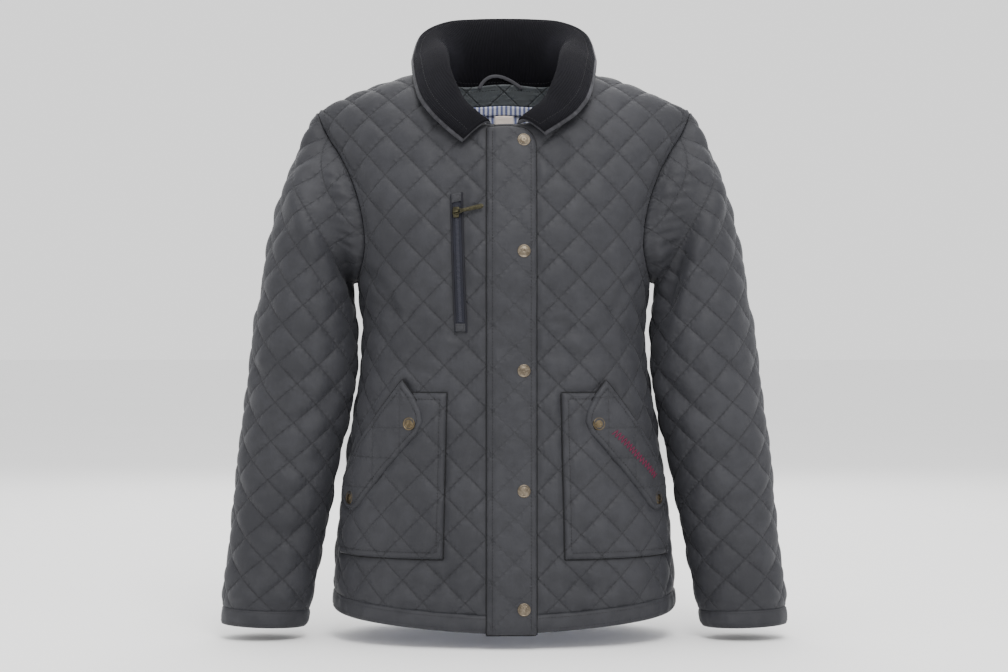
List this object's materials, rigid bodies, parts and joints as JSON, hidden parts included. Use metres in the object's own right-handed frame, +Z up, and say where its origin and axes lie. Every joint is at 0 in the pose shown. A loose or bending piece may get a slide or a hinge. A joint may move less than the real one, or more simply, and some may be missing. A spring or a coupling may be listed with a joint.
{
  "type": "quilted jacket",
  "caption": "Hollow quilted jacket in its worn form, with a corduroy collar, snap placket, patch pockets under slanted flaps and a chest zip.",
  "frame": {"origin": "between the two neck points, at the height of the shoulder line, where a wearer's shoulders hold the garment up", "axes": "+Z up, +X to the viewer's right (the wearer's left), the front of the garment faces -Y"},
  "size_m": [0.656, 0.2706, 0.7196],
  "materials": {
    "quilted_shell": "matt plain-weave nylon, quilted in diamonds",
    "corduroy": "fine-wale corduroy",
    "antique_brass": "dull antique",
    "zip_tape": "woven tape",
    "striped_lining": "woven stripe",
    "label_tape": "woven, left plain"
  },
  "bodies": {
    "garment": {"front_right": "quilted_shell", "front_left": "quilted_shell", "back": "quilted_shell", "hem_right": "quilted_shell", "hem_left": "quilted_shell", "hem_back": "quilted_shell", "sleeve_left": "quilted_shell", "cuff_left": "quilted_shell", "sleeve_right": "quilted_shell", "cuff_right": "quilted_shell", "placket": "quilted_shell", "pocket_left": "quilted_shell", "flap_left": "quilted_shell", "pocket_right": "quilted_shell", "flap_right": "quilted_shell", "zip_tab_top": "quilted_shell", "zip_tab_bottom": "quilted_shell", "collar_under": "quilted_shell", "neck_facing": "quilted_shell", "collar_cord": "corduroy", "striped_band": "striped_lining", "label": "label_tape", "zip_tape": "zip_tape", "hang_loop": "quilted_shell", "placket_snap_1": "antique_brass", "placket_snap_2": "antique_brass", "placket_snap_3": "antique_brass", "placket_snap_4": "antique_brass", "placket_snap_5": "antique_brass", "flap_snap_left_1": "antique_brass", "flap_snap_left_2": "antique_brass", "flap_snap_right_1": "antique_brass", "flap_snap_right_2": "antique_brass", "zip_slider": "antique_brass"},
    "zip_pull": {"zip_pull": "antique_brass"}
  },
  "joints": [
    {"name": "zip_pull_lift", "type": "hinge", "parent": "garment", "child": "zip_pull", "pos_m": [-0.05391, -0.1184, -0.1633], "axis": [0.198, -0.1611, -0.9669], "range_deg": [0, 120]}
  ]
}
